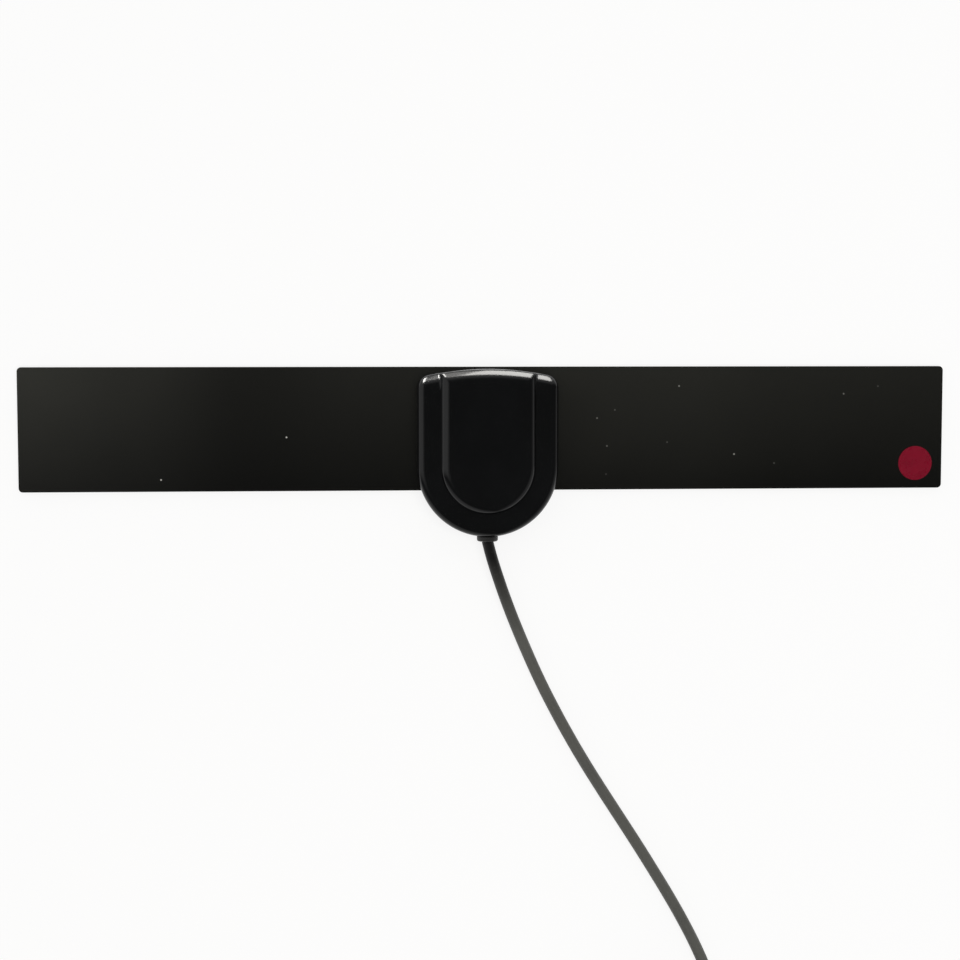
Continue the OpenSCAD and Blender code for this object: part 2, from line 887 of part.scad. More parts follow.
// Round space that the coil fills
module coil_space() {
    translate([coil_x, coil_y, 0])
        cylinder(h = 2 * coil_h, r = coil_outer_r);
}

// The free stretch, up to where it runs into the coil's own turns
module cable() {
    n = len(route) - 2;
    color([0.2, 0.2, 0.19])
        difference() {
            tube([for (i = [0:n - 1]) route[i]],
                [for (i = [0:n - 1]) heading(route, i)]);
            coil_space();
        }
}

// The tail, from where it leaves the coil's own turns
module cable_tail() {
    n = len(tail_route);
    color([0.2, 0.2, 0.19])
        difference() {
            tube([for (i = [1:n - 1]) tail_route[i]],
                [for (i = [1:n - 1]) i == n - 1 ? [-1, 0, 0] : heading(tail_route, i)]);
            coil_space();
        }
}

module cable_coil() {
    color([0.2, 0.2, 0.19])
        translate([coil_x, coil_y, tie_t + coil_h / 2])
            rotate_extrude()
                translate([coil_mean_r, 0])
                    rounded_rect([coil_w, coil_h], cable_r);
}

module coil_tie() {
    color([0.1, 0.1, 0.1])
        translate([coil_x, coil_y, tie_t + coil_h / 2])
            rotate([0, 0, tie_at]) {
                rotate([0, 0, -tie_angle / 2])
                    rotate_extrude(angle = tie_angle)
                        translate([coil_mean_r, 0])
                            difference() {
                                rounded_rect([coil_w + 2 * tie_t, coil_h + 2 * tie_t],
                                    cable_r + tie_t);
                                rounded_rect([coil_w, coil_h], cable_r);
                            }
                translate([coil_mean_r - tie_head.x / 2, -tie_head.y / 2, coil_h / 2 + tie_t / 2])
                    cube(tie_head);
            }
}

// Puts a plug piece, built along +Z from the boot's tip, at its place on the surface
module at_plug() {
    translate([plug_x, plug_y, grip_r])
        rotate([0, -90, 0])
            children();
}

module plug_grip() {
    front = boot_l + grip_l;
    taper = (boot_root_r - boot_tip_r) / boot_l;
    color([0.07, 0.07, 0.07])
        at_plug()
            difference() {
                union() {
                    rotate_extrude()
                        polygon([[0, 0], [boot_tip_r, 0], [boot_root_r, boot_l],
                            [boot_root_r, boot_l + over], [0, boot_l + over]]);
                    translate([0, 0, boot_l])
                        rotate_extrude()
                            edge_section(grip_r, grip_l, grip_round);
                }
                for (k = [1:boot_grooves])
                    translate([0, 0, k * boot_l / (boot_grooves + 1) - groove_w / 2])
                        rotate_extrude()
                            translate([boot_tip_r + taper * k * boot_l / (boot_grooves + 1)
                                - groove_depth, 0])
                                square([boot_root_r, groove_w]);
                for (k = [0:grip_flutes - 1])
                    rotate([0, 0, 360 * (k + 0.5) / grip_flutes])
                        translate([grip_r + flute_r - flute_sink, 0, boot_l + 2 * grip_round])
                            cylinder(h = grip_l - 4 * grip_round, r = flute_r);
                translate([0, 0, front - sleeve_seat])
                    cylinder(h = sleeve_seat + over, r = seat_r + pin_clear);
            }
}

// The sleeve's narrower neck is set into the grip
module plug_sleeve() {
    neck_bore_r = seat_r - sleeve_wall;
    step_z = sleeve_seat + sleeve_wall;
    color([0.8, 0.8, 0.82])
        at_plug()
            translate([0, 0, boot_l + grip_l - sleeve_seat])
                rotate_extrude()
                    polygon([[neck_bore_r, 0], [seat_r, 0], [seat_r, sleeve_seat],
                        [sleeve_r, sleeve_seat], [sleeve_r, sleeve_seat + sleeve_l],
                        [seat_r, sleeve_seat + sleeve_l], [seat_r, step_z],
                        [neck_bore_r, step_z]]);
}

module plug_insulator() {
    hole_r = pin_r + pin_clear;
    waist_r = seat_r - sleeve_wall - pin_clear;
    step_z = sleeve_seat + sleeve_wall;
    color([0.9, 0.9, 0.86])
        at_plug()
            translate([0, 0, boot_l + grip_l - sleeve_seat])
                rotate_extrude()
                    polygon([[hole_r, 0], [waist_r, 0], [waist_r, step_z],
                        [seat_r - pin_clear, step_z], [seat_r - pin_clear, insulator_l],
                        [hole_r, insulator_l]]);
}

module plug_pin() {
    color([0.82, 0.8, 0.75])
        at_plug()
            translate([0, 0, boot_l + grip_l - sleeve_seat])
                rotate_extrude()
                    edge_section(pin_r, pin_l, pin_tip_r);
}

front_sheet();
rear_sheet();
element(1);  // element_left
element(0);  // element_right
badge();
front_shell();
rear_cover();
cover_screws();
contact_rivets();
contact_spacers();
circuit_board();
balun_core();
antenna_winding();
cable_winding();
chip_capacitors();
solder_joints();
cable_clamp();
cable_jacket();
cable_braid();
cable_dielectric();
cable_core();
strain_relief();
cable();
cable_coil();
coil_tie();
cable_tail();
plug_grip();
plug_sleeve();
plug_insulator();
plug_pin();
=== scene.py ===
"""Looks of a flat indoor tv antenna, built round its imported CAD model."""

import math

import bmesh
import bpy
from bpy.props import FloatProperty, FloatVectorProperty, IntProperty, PointerProperty
from mathutils import Euler, Matrix, Vector


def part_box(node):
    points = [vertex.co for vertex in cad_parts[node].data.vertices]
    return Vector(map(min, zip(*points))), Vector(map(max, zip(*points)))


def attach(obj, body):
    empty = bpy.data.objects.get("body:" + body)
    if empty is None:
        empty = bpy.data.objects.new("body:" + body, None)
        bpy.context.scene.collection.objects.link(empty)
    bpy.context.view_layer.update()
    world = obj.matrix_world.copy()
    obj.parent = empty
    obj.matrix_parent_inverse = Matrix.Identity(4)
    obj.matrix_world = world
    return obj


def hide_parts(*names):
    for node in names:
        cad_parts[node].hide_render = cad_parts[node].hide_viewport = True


bl_info = {
    "name": "Flat antenna looks",
    "version": (1, 0, 0),
    "blender": (4, 5, 0),
    "location": "View3D > Sidebar > Antenna",
    "description": "Dresses the packed flat antenna and sets it on a pale studio floor",
    "category": "Object",
}

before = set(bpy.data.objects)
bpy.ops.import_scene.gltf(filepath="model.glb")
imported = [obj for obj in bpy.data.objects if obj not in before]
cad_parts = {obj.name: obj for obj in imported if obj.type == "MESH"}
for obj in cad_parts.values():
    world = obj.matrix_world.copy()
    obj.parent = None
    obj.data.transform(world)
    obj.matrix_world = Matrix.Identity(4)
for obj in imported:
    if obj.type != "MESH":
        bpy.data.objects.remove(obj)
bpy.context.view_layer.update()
BODY = "root"
STRIP_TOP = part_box("front_sheet")[1][2]
MM = 0.001

# Camera of the photograph: place in millimetres, turn in degrees
CAMERA_PLACE = (-47.7, 32.6, 695.4)
CAMERA_TURN = (-4.20, -3.74, -0.02)
CAMERA_LENS = 73.125
CAMERA_SENSOR = 36.0
CAMERA_CLIP = (0.01, 50)

# Route of the lead in millimetres, as in the part's source
FREE_ROUTE = [
    (0, -40, 5.8), (1.6, -46, 5.5), (4, -53.5, 4.6), (7, -62, 3.3), (10.5, -71, 2.4),
    (14.7, -81, 2.1), (19.2, -91, 2.1), (24.2, -101, 2.1), (29.6, -111, 2.1),
    (35.4, -121, 2.1), (41.6, -131, 2.1), (48, -141, 2.1), (54.4, -151, 2.1),
    (60.6, -161, 2.1), (66.6, -171, 2.1), (72.2, -181, 2.1), (77.2, -191, 2.1),
    (81.2, -200.5, 2.1), (84.4, -210, 2.1), (86.8, -219, 2.2), (87.9, -228, 2.4),
]
TAIL_ROUTE = [
    (48, -267.1, 6.65), (38, -266.6, 6), (28, -265.4, 4.4), (18, -263.8, 2.8),
    (8, -262, 2.1), (-2, -260, 2.1), (-12, -258, 2.1), (-22, -256.3, 2.1),
    (-32, -255, 2.3), (-42, -254.3, 3.2), (-52, -254, 4.8), (-62, -254, 6),
    (-72, -254, 6.2),
]
COIL_CENTRE = (57, -236)
# Degrees between two points of the coil
COIL_STEP = 15
# The tie round the coil: radius it stands at, turn in degrees, sizes in millimetres
TIE_RADIUS = 25
TIE_AT = -40
TIE_TOP = 9.2
TIE_OUTSIDE = (17.4, 9.2)
TIE_CORNER = 2.55
TIE_WIDTH = 3.9
TIE_THICK = 0.45
TIE_HEAD = (4.4, 5.6, 3)
TIE_HEAD_SINK = 0.25
TIE_TAIL = (5.5, 3.4, 0.9)
TIE_TAIL_SINK = 0.6
SLOT_RIM = 0.7
SLOT_DEPTH = 1.2
TOOTH_STEP = 0.6
TOOTH_FROM_HEAD = 0.5
TOOTH_THICK = 0.3
TOOTH_LIFT = 0.05
# Turn angle in degrees, radius and height along the coil, clockwise from its east point
COIL_KEYS = [
    (0, 31.15, 2.55), (260, 31.15, 2.55), (330, 27.05, 2.55), (620, 27.05, 2.55),
    (690, 22.95, 2.55), (980, 22.95, 2.55), (1050, 18.85, 2.55), (1260, 18.85, 2.55),
    (1330, 18.75, 6.65), (1540, 18.75, 6.65), (1610, 22.85, 6.65), (1900, 22.85, 6.65),
    (1970, 26.95, 6.65), (2260, 26.95, 6.65), (2330, 31.05, 6.65), (2610, 31.05, 6.65),
]

# Softboxes: name, place and size in metres, radiance. They face the housing and only add
# highlights on its shell, so that the flat strip doesn't mirror them at low angles.
SOFTBOXES = [
    ("window_right", (0.24, 1.2, 0.69), (0.44, 1.06), 16.0),
    ("window_left", (-0.09, 1.2, 0.69), (0.22, 1.06), 3.5),
    ("window_far_left", (-0.55, 1.1, 0.65), (0.5, 1.0), 40.0),
]
LAMP_COLOUR = (1, 0.985, 0.95)
# Lamp overhead: place and size in metres, and share of the full light level at the origin
FILL_PLACE = (0.25, -0.15, 2.2)
FILL_SIZE = 1.6
FILL_LEVEL = 0.7
# Floor: half its side in metres, paint, and share of plain white that the camera sees
FLOOR_REACH = 20
FLOOR_PAINT = 0.93
FLOOR_WHITE = 0.8
# World: level overhead, level of the wall to the left, and the other pale parts as direction,
# where each begins and is full along it, and level
WORLD_OVERHEAD = 0.09
WEST_WALL = 0.86
WORLD_PARTS = [
    ((0, 0, 1), 0.3, 0.1, 0.15), ((0, 0, 1), 0.06, 0.02, 1), ((0, 1, 0), 0.15, 0.6, 0.9),
    ((-0.5, -0.87, 0), 0.64, 0.95, 0.75), ((0.82, -0.57, 0), 0.62, 0.95, 0.55),
]
# Creases of the housing look softened by this radius, fading in between two places along Y
CREASE_RADIUS = 1.3 * MM
CREASE_FROM = (13.5 * MM, 16.5 * MM)
# Painted sheen along the strip, lighter at its left end as from a lamp's broad reflection:
# share of its length from the left end, and amount
FILM_PAINTED_SHEEN = [(0, 1), (0.12, 0.5), (0.24, 0.02), (0.38, 0.2), (0.68, 0.5), (0.82, 0.3), (1, 0.2)]
# Painted light: share of the film's colour at its lower and top edge, darker at the bottom and
# lighter at the top as from the rough reflection of windows to the north
FILM_PAINTED_LIGHT = (0.5, 1.5)
# Dust that shows on the film: place in millimetres and brightness, and its radius
DUST = [
    (-115.3, -17.8, 0.5), (-71.1, -2.9, 0.55), (89.1, -9.5, 0.3), (103.7, -12.8, 0.08),
    (128.8, 12.1, 0.14), (141.3, 14.8, 0.06), (69, 15, 0.2), (45.9, 6.5, 0.08),
    (39.5, 3.6, 0.14), (43.1, -6.4, 0.12), (64.8, -5.1, 0.07), (42.8, -16.5, 0.05),
]
DUST_RADIUS = 0.22 * MM


def settings():
    return bpy.context.scene.antenna_looks


# Shapes

def new_piece(name, bm, smooth_below=math.radians(35)):
    """Object from a bmesh, at the origin, riding on the antenna's body."""
    mesh = bpy.data.meshes.new(name)
    bm.to_mesh(mesh)
    bm.free()
    mesh.shade_smooth()
    mesh.set_sharp_from_angle(angle=smooth_below)
    piece = bpy.data.objects.new(name, mesh)
    bpy.context.scene.collection.objects.link(piece)
    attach(piece, BODY)
    return piece


def round_edges(bm, edges, width, segments):
    bmesh.ops.bevel(bm, geom=edges, offset=width, offset_type="OFFSET", segments=segments,
                    profile=0.5, affect="EDGES", clamp_overlap=True, material=-1)


def smooth_step(t):
    return t * t * (3 - 2 * t)


def coil_points():
    """Points of the coil's turns, between the free stretch and the tail."""
    points = []
    for (turn, radius, height), (next_turn, next_radius, next_height) in zip(
            COIL_KEYS, COIL_KEYS[1:]):
        steps = max(2, round((next_turn - turn) / COIL_STEP))
        for i in range(steps):
            t = smooth_step(i / steps)
            angle = math.radians(turn + (next_turn - turn) * i / steps)
            r = radius + (next_radius - radius) * t
            points.append((COIL_CENTRE[0] + r * math.cos(angle),
                           COIL_CENTRE[1] - r * math.sin(angle),
                           height + (next_height - height) * t))
    angle = math.radians(COIL_KEYS[-1][0])
    points.append((COIL_CENTRE[0] + COIL_KEYS[-1][1] * math.cos(angle),
                   COIL_CENTRE[1] - COIL_KEYS[-1][1] * math.sin(angle), COIL_KEYS[-1][2]))
    return points


# Materials

def new_material(name):
    """Material with a plain Principled surface: material, node tree and surface."""
    material = bpy.data.materials.new(name)
    material.use_nodes = True
    tree = material.node_tree
    tree.nodes.clear()
    output = tree.nodes.new("ShaderNodeOutputMaterial")
    surface = tree.nodes.new("ShaderNodeBsdfPrincipled")
    tree.links.new(surface.outputs["BSDF"], output.inputs["Surface"])
    return material, tree, surface


def object_place(tree, scale=(1, 1, 1)):
    """Object coordinates in metres, stretched by scale."""
    coordinate = tree.nodes.new("ShaderNodeTexCoord")
    mapping = tree.nodes.new("ShaderNodeMapping")
    mapping.inputs["Scale"].default_value = scale
    tree.links.new(coordinate.outputs["Object"], mapping.inputs["Vector"])
    return mapping.outputs["Vector"]


def noise(tree, place, scale, detail=4.0, roughness=0.55):
    node = tree.nodes.new("ShaderNodeTexNoise")
    node.inputs["Scale"].default_value = scale
    node.inputs["Detail"].default_value = detail
    node.inputs["Roughness"].default_value = roughness
    tree.links.new(place, node.inputs["Vector"])
    return node.outputs["Fac"]


def spread(tree, value, low, high, new_low, new_high, smooth=False):
    """Maps low..high of a value to new_low..new_high."""
    node = tree.nodes.new("ShaderNodeMapRange")
    node.interpolation_type = "SMOOTHSTEP" if smooth else "LINEAR"
    for socket, number in (("From Min", low), ("From Max", high),
                           ("To Min", new_low), ("To Max", new_high)):
        node.inputs[socket].default_value = number
    tree.links.new(value, node.inputs["Value"])
    return node.outputs["Result"]


def blend_colours(tree, amount, first, second):
    """Mix of two colours, each a colour or a socket."""
    node = tree.nodes.new("ShaderNodeMix")
    node.data_type = "RGBA"
    tree.links.new(amount, node.inputs["Factor"])
    for socket, colour in ((node.inputs[6], first), (node.inputs[7], second)):
        if isinstance(colour, bpy.types.NodeSocket):
            tree.links.new(colour, socket)
        else:
            socket.default_value = (*colour[:3], 1)
    return node.outputs[2]


def arithmetic(tree, kind, first, second):
    node = tree.nodes.new("ShaderNodeMath")
    node.operation = kind
    for socket, value in zip(node.inputs, (first, second)):
        if isinstance(value, bpy.types.NodeSocket):
            tree.links.new(value, socket)
        else:
            socket.default_value = value
    return node.outputs[0]


def relief(tree, surface, height, depth, strength=1.0, under=None):
    """Bump of that depth in metres; under is another bump to add it to."""
    node = tree.nodes.new("ShaderNodeBump")
    node.inputs["Strength"].default_value = strength
    node.inputs["Distance"].default_value = depth
    tree.links.new(height, node.inputs["Height"])
    if under is not None:
        tree.links.new(under, node.inputs["Normal"])
    tree.links.new(node.outputs["Normal"], surface.inputs["Normal"])
    return node.outputs["Normal"]


def axis_value(tree, axis):
    """One of the object coordinates, in metres."""
    coordinate = tree.nodes.new("ShaderNodeTexCoord")
    split = tree.nodes.new("ShaderNodeSeparateXYZ")
    tree.links.new(coordinate.outputs["Object"], split.inputs["Vector"])
    return split.outputs[axis]


def towards(tree, direction, side):
    """How far a direction points to a side, 1 where it is that side."""
    node = tree.nodes.new("ShaderNodeVectorMath")
    node.operation = "DOT_PRODUCT"
    node.inputs[1].default_value = side
    tree.links.new(direction, node.inputs[0])
    return node.outputs["Value"]


def dust_spots(tree):
    """Brightness of the dust specks that lie on the film, 0 elsewhere."""
    coordinate = tree.nodes.new("ShaderNodeTexCoord")
    total = 0.0
    for x, y, brightness in DUST:
        gap = tree.nodes.new("ShaderNodeVectorMath")
        gap.operation = "DISTANCE"
        gap.inputs[1].default_value = (x * MM, y * MM, STRIP_TOP)
        tree.links.new(coordinate.outputs["Object"], gap.inputs[0])
        spot = spread(tree, gap.outputs["Value"], DUST_RADIUS, 1.6 * DUST_RADIUS,
                      brightness, 0)
        total = arithmetic(tree, "MAXIMUM", spot, total)
    return total


def film_material(name, colour, pale_colour):
    """Satin laminated film: painted sheen along it, painted light that makes it darker at its
    lower edge and lighter at its top edge, fine grain, slow waves, a few dust specks.
    """
    material, tree, surface = new_material(name)
    place = object_place(tree)
    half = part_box("front_sheet")[1][0]
    # Painted sheen: the film's colour is blended towards its paler colour along the strip,
    # lightest at the left end as from a lamp's broad reflection.
    painted_sheen_ramp = tree.nodes.new("ShaderNodeValToRGB")
    painted_sheen_ramp.color_ramp.interpolation = "EASE"
    tree.links.new(spread(tree, axis_value(tree, "X"), -half, half, 0, 1),
                   painted_sheen_ramp.inputs["Fac"])
    stops = painted_sheen_ramp.color_ramp.elements
    while len(stops) < len(FILM_PAINTED_SHEEN):
        stops.new(0.5)
    for stop, (along, amount) in zip(stops, FILM_PAINTED_SHEEN):
        stop.position = along
        stop.color = (amount, amount, amount, 1)
    cloud = noise(tree, place, 18, 3)
    amount = arithmetic(tree, "MULTIPLY", painted_sheen_ramp.outputs["Color"],
                        spread(tree, cloud, 0.3, 0.7, 0.8, 1.2))
    base = blend_colours(tree, amount, colour, pale_colour)
    # Painted light: the film's colour is scaled down towards its lower edge and up towards its
    # top edge.
    painted_top_light = spread(tree, axis_value(tree, "Y"), -0.02, 0.02, *FILM_PAINTED_LIGHT)
    shade = tree.nodes.new("ShaderNodeVectorMath")
    shade.operation = "SCALE"
    tree.links.new(base, shade.inputs[0])
    tree.links.new(painted_top_light, shade.inputs["Scale"])
    tree.links.new(blend_colours(tree, dust_spots(tree), shade.outputs["Vector"],
                                 (0.9, 0.9, 0.84)), surface.inputs["Base Color"])
    rub = noise(tree, object_place(tree, (1, 6, 1)), 120, 5, 0.6)
    tree.links.new(spread(tree, rub, 0.3, 0.75, 0.277, 0.284), surface.inputs["Roughness"])
    surface.inputs["IOR"].default_value = 1.38
    waves = relief(tree, surface, noise(tree, place, 22, 2), 0.0006, 0.25)
    relief(tree, surface, noise(tree, place, 2600, 2), 0.00003, 0.5, under=waves)
    return material


def gloss_material(name, colour):
    """Polished moulded plastic: faint flow waves, hairline rubs, softened creases."""
    material, tree, surface = new_material(name)
    place = object_place(tree)
    flow = noise(tree, place, 60, 3)
    base = blend_colours(tree, spread(tree, flow, 0.35, 0.7, 0, 1), colour,
                         tuple(1.5 * c for c in colour))
    tree.links.new(base, surface.inputs["Base Color"])
    rub = noise(tree, object_place(tree, (1, 0.12, 1)), 900, 4, 0.7)
    tree.links.new(spread(tree, rub, 0.45, 0.8, 0.09, 0.16), surface.inputs["Roughness"])
    surface.inputs["IOR"].default_value = 1.46
    crease = tree.nodes.new("ShaderNodeBevel")
    crease.samples = 8
    crease.inputs["Radius"].default_value = CREASE_RADIUS
    plain = tree.nodes.new("ShaderNodeNewGeometry")
    soft = tree.nodes.new("ShaderNodeMix")
    soft.data_type = "VECTOR"
    tree.links.new(spread(tree, axis_value(tree, "Y"), *CREASE_FROM, 0, 1),
                   soft.inputs["Factor"])
    tree.links.new(plain.outputs["Normal"], soft.inputs[4])
    tree.links.new(crease.outputs["Normal"], soft.inputs[5])
    waves = relief(tree, surface, noise(tree, place, 45, 2), 0.0004, 0.12,
                   under=soft.outputs[1])
    relief(tree, surface, noise(tree, place, 1500, 2), 0.00001, 0.3, under=waves)
    return material


def eroded_material(name, colour, roughness=0.55, grain_scale=1800, depth=0.00004):
    """Spark-eroded moulded plastic: fine even texture, slightly polished where it is high."""
    material, tree, surface = new_material(name)
    place = object_place(tree)
    cloud = noise(tree, place, 70, 4)
    base = blend_colours(tree, spread(tree, cloud, 0.3, 0.75, 0, 1), colour,
                         tuple(min(1, 1.35 * c + 0.002) for c in colour))
    tree.links.new(base, surface.inputs["Base Color"])
    grit = noise(tree, place, grain_scale, 3, 0.6)
    tree.links.new(spread(tree, grit, 0.3, 0.7, roughness + 0.08, roughness - 0.1),
                   surface.inputs["Roughness"])
    relief(tree, surface, grit, depth, 0.6)
    return material


def metal_material(name, colour, roughness=0.28, brush=(1, 1, 1), tarnish=(0.25, 0.22, 0.18)):
    """Plated metal with brush lines along the piece and faint tarnish."""
    material, tree, surface = new_material(name)
    place = object_place(tree, brush)
    lines = noise(tree, place, 900, 4, 0.6)
    stain = noise(tree, object_place(tree), 160, 5, 0.65)
    amount = spread(tree, stain, 0.55, 0.85, 0, 0.35)
    tree.links.new(blend_colours(tree, amount, colour, tarnish), surface.inputs["Base Color"])
    surface.inputs["Metallic"].default_value = 1
    tree.links.new(spread(tree, lines, 0.3, 0.7, roughness - 0.08, roughness + 0.1),
                   surface.inputs["Roughness"])
    relief(tree, surface, lines, 0.000015, 0.4)
    return material


def jacket_material(name, colour, pale_colour):
    """Extruded vinyl jacket with scuffs, darker near the housing and paler away from it."""
    material, tree, surface = new_material(name)
    place = object_place(tree)
    away = spread(tree, axis_value(tree, "Y"), -0.046, -0.075, 0, 1)
    mottle = noise(tree, place, 90, 5, 0.6)
    amount = arithmetic(tree, "MULTIPLY", away, spread(tree, mottle, 0.3, 0.7, 0.85, 1.1))
    base = blend_colours(tree, amount, colour, pale_colour)
    scuff = noise(tree, place, 700, 4, 0.7)
    tree.links.new(blend_colours(tree, spread(tree, scuff, 0.62, 0.8, 0, 0.4), base,
                                 tuple(1.6 * c for c in pale_colour)),
                   surface.inputs["Base Color"])
    tree.links.new(spread(tree, mottle, 0.3, 0.7, 0.42, 0.58), surface.inputs["Roughness"])
    surface.inputs["IOR"].default_value = 1.42
    relief(tree, surface, noise(tree, place, 1400, 3), 0.00003, 0.5)
    return material


def ink_material(name, colour):
    """Printed vinyl disc under a clear film."""
    material, tree, surface = new_material(name)
    place = object_place(tree)
    cloud = noise(tree, place, 260, 4)
    base = blend_colours(tree, spread(tree, cloud, 0.3, 0.7, 0, 1), colour,
                         tuple(1.18 * c for c in colour))
    tree.links.new(base, surface.inputs["Base Color"])
    tree.links.new(spread(tree, cloud, 0.3, 0.7, 0.24, 0.32), surface.inputs["Roughness"])
    surface.inputs["IOR"].default_value = 1.36
    relief(tree, surface, noise(tree, place, 2600, 2), 0.00002, 0.4)
    return material


def dress(node, material):
    """Gives a CAD node a material in place of its plain one."""
    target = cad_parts[node]
    if not target.material_slots:
        target.data.materials.append(material)
    for slot in target.material_slots:
        slot.material = material


# Pieces

class AntennaLooks(bpy.types.PropertyGroup):
    lead_diameter: FloatProperty(
        name="Lead diameter", description="Diameter of the lead over its jacket",
        default=4.1 * MM, min=3 * MM, max=6 * MM, unit="LENGTH", precision=4)
    lead_length: FloatProperty(
        name="Lead length", description="Whole length of the lead, from housing to plug",
        default=1.5, min=0.5, max=3, unit="LENGTH")
    film_colour: FloatVectorProperty(
        name="Film", description="Colour of the strip's film where it is clear",
        default=(0.0045, 0.0045, 0.0038), size=3, min=0, max=1, subtype="COLOR")
    # Paler colour that painted sheen gives the film along the strip, shown as the film's hazy
    # colour.
    film_sheen_colour: FloatVectorProperty(
        name="Film, hazy", description="Colour of the strip's film where it is hazy",
        default=(0.0158, 0.0159, 0.0135), size=3, min=0, max=1, subtype="COLOR")
    housing_colour: FloatVectorProperty(
        name="Housing", description="Colour of the glossy housing",
        default=(0.0022, 0.0024, 0.0026), size=3, min=0, max=1, subtype="COLOR")
    badge_colour: FloatVectorProperty(
        name="Disc", description="Colour of the round disc",
        default=(0.158, 0.001, 0.0125), size=3, min=0, max=1, subtype="COLOR")
    lead_colour: FloatVectorProperty(
        name="Lead", description="Colour of the lead near the housing",
        default=(0.004, 0.004, 0.004), size=3, min=0, max=1, subtype="COLOR")
    # Colour of the lead away from the housing. The lead is darker near the housing and paler
    # away from it.
    lead_pale_colour: FloatVectorProperty(
        name="Lead, rubbed", description="Colour of the lead away from the housing",
        default=(0.088, 0.088, 0.08), size=3, min=0, max=1, subtype="COLOR")
    lamp_level: FloatProperty(
        name="Lamp level", description="Scales all lamps together",
        default=1.0, min=0, max=4)
    tie_teeth: IntProperty(
        name="Tie teeth", description="Teeth that show on the tie round the coil",
        default=6, min=0, max=8)


class ANTENNA_OT_stage(bpy.types.Operator):
    """Camera, floor, world and lamps of the photograph"""
    bl_idname = "antenna.stage"
    bl_label = "Stage"

    def execute(self, context):
        scene = context.scene
        scene.view_settings.view_transform = "Standard"
        self.make_camera(scene)
        self.make_floor(scene)
        self.make_world(scene)
        level = settings().lamp_level
        glossy = bpy.data.collections.new("lit_by_softboxes")
        glossy.objects.link(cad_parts["front_shell"])
        for name, place, size, radiance in SOFTBOXES:
            lamp = self.make_softbox(scene, name, place, size, radiance * level)
            lamp.light_linking.receiver_collection = glossy
            lamp.visible_diffuse = False
        self.make_fill(scene, level)
        return {"FINISHED"}

    def make_camera(self, scene):
        data = bpy.data.cameras.new("camera")
        data.lens = CAMERA_LENS
        data.sensor_fit = "HORIZONTAL"
        data.sensor_width = CAMERA_SENSOR
        data.clip_start, data.clip_end = CAMERA_CLIP
        camera = bpy.data.objects.new("camera", data)
        camera.location = [v * MM for v in CAMERA_PLACE]
        camera.rotation_euler = Euler([math.radians(v) for v in CAMERA_TURN], "XYZ")
        scene.collection.objects.link(camera)
        scene.camera = camera

    def make_floor(self, scene):
        bm = bmesh.new()
        bmesh.ops.create_grid(bm, x_segments=1, y_segments=1, size=FLOOR_REACH)
        mesh = bpy.data.meshes.new("floor")
        bm.to_mesh(mesh)
        bm.free()
        floor = bpy.data.objects.new("floor", mesh)
        scene.collection.objects.link(floor)
        material = bpy.data.materials.new("pale_floor")
        material.use_nodes = True
        tree = material.node_tree
        tree.nodes.clear()
        output = tree.nodes.new("ShaderNodeOutputMaterial")
        paint = tree.nodes.new("ShaderNodeBsdfDiffuse")
        paint.inputs["Color"].default_value = (FLOOR_PAINT, FLOOR_PAINT, FLOOR_PAINT, 1)
        glow = tree.nodes.new("ShaderNodeEmission")
        rays = tree.nodes.new("ShaderNodeLightPath")
        seen = arithmetic(tree, "MAXIMUM", rays.outputs["Is Camera Ray"],
                          rays.outputs["Is Glossy Ray"])
        seen = arithmetic(tree, "MAXIMUM", seen, rays.outputs["Is Transmission Ray"])
        mix = tree.nodes.new("ShaderNodeMixShader")
        tree.links.new(arithmetic(tree, "MULTIPLY", seen, FLOOR_WHITE), mix.inputs["Fac"])
        tree.links.new(paint.outputs["BSDF"], mix.inputs[1])
        tree.links.new(glow.outputs["Emission"], mix.inputs[2])
        tree.links.new(mix.outputs["Shader"], output.inputs["Surface"])
        mesh.materials.append(material)

    def make_world(self, scene):
        """Dark overhead, white at the horizon, with pale walls and two soft patches"""
        world = bpy.data.worlds.new("studio")
        scene.world = world
        world.use_nodes = True
        tree = world.node_tree
        tree.nodes.clear()
        output = tree.nodes.new("ShaderNodeOutputWorld")
        background = tree.nodes.new("ShaderNodeBackground")
        coordinate = tree.nodes.new("ShaderNodeTexCoord")
        ways = coordinate.outputs["Generated"]
        west_wall = arithmetic(
            tree, "MULTIPLY",
            spread(tree, towards(tree, ways, (1, 0, 0)), -0.03, -0.5, 0, WEST_WALL),
            spread(tree, towards(tree, ways, (0, 1, 0)), -0.3, -0.1, 0.1, 1, smooth=True))
        level = arithmetic(tree, "MAXIMUM", west_wall, WORLD_OVERHEAD)
        for side, begins, full, amount in WORLD_PARTS:
            part = spread(tree, towards(tree, ways, side), begins, full, 0, amount, smooth=True)
            level = arithmetic(tree, "MAXIMUM", level, part)
        tree.links.new(level, background.inputs["Strength"])
        tree.links.new(background.outputs["Background"], output.inputs["Surface"])

    def make_fill(self, scene, level):
        """Broad lamp overhead that adds no highlight of its own"""
        radiance = FILL_LEVEL * math.pi * Vector(FILL_PLACE).length_squared / FILL_SIZE ** 2
        lamp = self.make_softbox(scene, "fill", FILL_PLACE, (FILL_SIZE, FILL_SIZE),
                                 radiance * level)
        lamp.visible_glossy = False

    def make_softbox(self, scene, name, place, size, radiance):
        """Area lamp that faces the origin"""
        data = bpy.data.lights.new(name, "AREA")
        data.shape = "RECTANGLE"
        data.size, data.size_y = size
        data.energy = radiance * math.pi * size[0] * size[1]
        data.color = LAMP_COLOUR
        lamp = bpy.data.objects.new(name, data)
        lamp.location = place
        lamp.rotation_euler = (-Vector(place)).to_track_quat("-Z", "Y").to_euler()
        scene.collection.objects.link(lamp)
        return lamp


